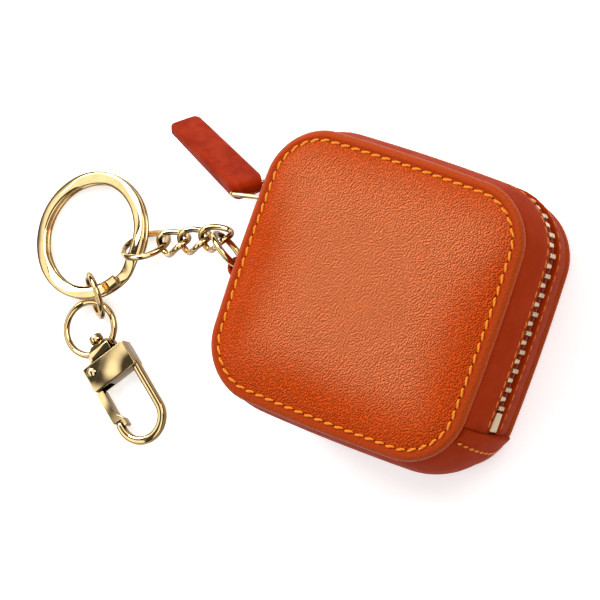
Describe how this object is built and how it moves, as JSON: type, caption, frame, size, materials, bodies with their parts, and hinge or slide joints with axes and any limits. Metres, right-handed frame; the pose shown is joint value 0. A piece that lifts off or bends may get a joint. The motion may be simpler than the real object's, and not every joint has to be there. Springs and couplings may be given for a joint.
{
  "type": "keychain coin purse",
  "caption": "Small zipped leather coin purse with a leather zip pull, on a short curb chain with a split ring and a swivel snap hook.",
  "frame": {"origin": "centre of the flat outer face of the rear panel, on which the purse lies", "axes": "+Z out of the front panel, +Y across the face towards the zip's top side, +X across the face away from the chain"},
  "size_m": [0.1435, 0.0918, 0.0374],
  "materials": {
    "leather": "smooth grained, semi-gloss",
    "gusset_leather": "smooth, semi-gloss",
    "tab_leather": "smooth, satin",
    "padding": "foam",
    "lining": "woven, matt",
    "zip": "woven tape with brass teeth",
    "gold_metal": "polished pale gold",
    "spring_steel": "bright"
  },
  "bodies": {
    "purse": {"rear_leather": "leather", "rear_foam": "padding", "rear_lining": "lining", "front_corner_leather": "leather", "front_corner_foam": "padding", "front_corner_lining": "lining", "rear_gusset": "gusset_leather", "front_gusset_end": "gusset_leather", "bottom_gusset": "gusset_leather", "bottom_gusset_lining": "lining", "rear_zip_tape": "zip", "front_zip_tape_end": "zip", "zip_bottom_stop": "gold_metal", "chain_strap": "leather"},
    "lid": {"front_leather": "leather", "front_foam": "padding", "front_lining": "lining", "front_gusset": "gusset_leather", "front_zip_tape": "zip"},
    "slider": {"zip_slider": "gold_metal"},
    "wire_loop": {"pull_wire": "gold_metal"},
    "tab": {"pull_tab": "tab_leather"},
    "strap_ring": {"strap_ring": "gold_metal"},
    "link_1": {"curb_link_1": "gold_metal"},
    "link_2": {"curb_link_2": "gold_metal"},
    "link_3": {"curb_link_3": "gold_metal"},
    "small_ring": {"small_ring": "gold_metal"},
    "split_ring": {"split_ring": "gold_metal"},
    "jump_ring": {"hook_jump_ring": "gold_metal"},
    "eye": {"swivel_eye": "gold_metal"},
    "hook": {"swivel_pin": "gold_metal", "hook_frame": "gold_metal", "gate_rivet": "gold_metal", "gate_spring": "spring_steel"},
    "gate": {"hook_gate": "gold_metal"}
  },
  "joints": [
    {"name": "lid_fold", "type": "hinge", "parent": "purse", "child": "lid", "pos_m": [-0.0001, -0.00101, 0.0377], "axis": [0.8569, -0.5155, 0], "range_deg": [0, 40]},
    {"name": "zip_slide", "type": "slide", "parent": "purse", "child": "slider", "axis": [0, 1, 0], "range_m": [0, 0.0022]},
    {"name": "pull_wire_turn", "type": "hinge", "parent": "slider", "child": "wire_loop", "pos_m": [-0.03911, 0.01397, 0.0184], "axis": [0, 0, 1], "range_deg": [-30, 10]},
    {"name": "pull_tab_turn", "type": "hinge", "parent": "wire_loop", "child": "tab", "pos_m": [-0.04731, 0.01397, 0.01492], "axis": [0.4554, 0.5779, -0.6772], "range_deg": [0, 35]},
    {"name": "strap_ring_swing", "type": "hinge", "parent": "purse", "child": "strap_ring", "pos_m": [-0.04107, -0.0051, 0.0171], "axis": [0, 0, 1], "range_deg": [-15, 15]},
    {"name": "link_1_lift", "type": "hinge", "parent": "strap_ring", "child": "link_1", "pos_m": [-0.04892, 0.00064, 0.01418], "axis": [-0.342, 0.9397, 0], "range_deg": [0, 25]},
    {"name": "link_2_turn", "type": "hinge", "parent": "link_1", "child": "link_2", "pos_m": [-0.05552, -0.00176, 0.01156], "axis": [0, 0, -1], "range_deg": [-30, 30]},
    {"name": "link_3_lift", "type": "hinge", "parent": "link_2", "child": "link_3", "pos_m": [-0.06231, -0.00423, 0.00888], "axis": [-0.342, 0.9397, 0], "range_deg": [0, 25]},
    {"name": "small_ring_turn", "type": "hinge", "parent": "link_3", "child": "small_ring", "pos_m": [-0.06905, -0.00668, 0.00606], "axis": [0, 0, 1], "range_deg": [-30, 30]},
    {"name": "split_ring_lift", "type": "hinge", "parent": "small_ring", "child": "split_ring", "pos_m": [-0.0758, -0.00879, 0.00588], "axis": [-0.866, 0.5, 0], "range_deg": [0, 6]},
    {"name": "jump_ring_lift", "type": "hinge", "parent": "split_ring", "child": "jump_ring", "pos_m": [-0.08339, -0.02421, 0.00534], "axis": [-0.8746, -0.4848, 0], "range_deg": [0, 8]},
    {"name": "eye_turn", "type": "hinge", "parent": "jump_ring", "child": "eye", "pos_m": [-0.08255, -0.02665, 0.0029], "axis": [0, 0, -1], "range_deg": [-32, 0]},
    {"name": "hook_swivel", "type": "hinge", "parent": "eye", "child": "hook", "pos_m": [-0.08279, -0.03355, 0.0029], "axis": [0.809, -0.5878, 0], "continuous": true},
    {"name": "gate_turn", "type": "hinge", "parent": "hook", "child": "gate", "pos_m": [-0.07713, -0.04359, 0.0029], "axis": [0, 0, 1], "range_deg": [0, 22], "stiffness_Nm_per_rad": 0.01, "springref_deg": -17.19}
  ]
}
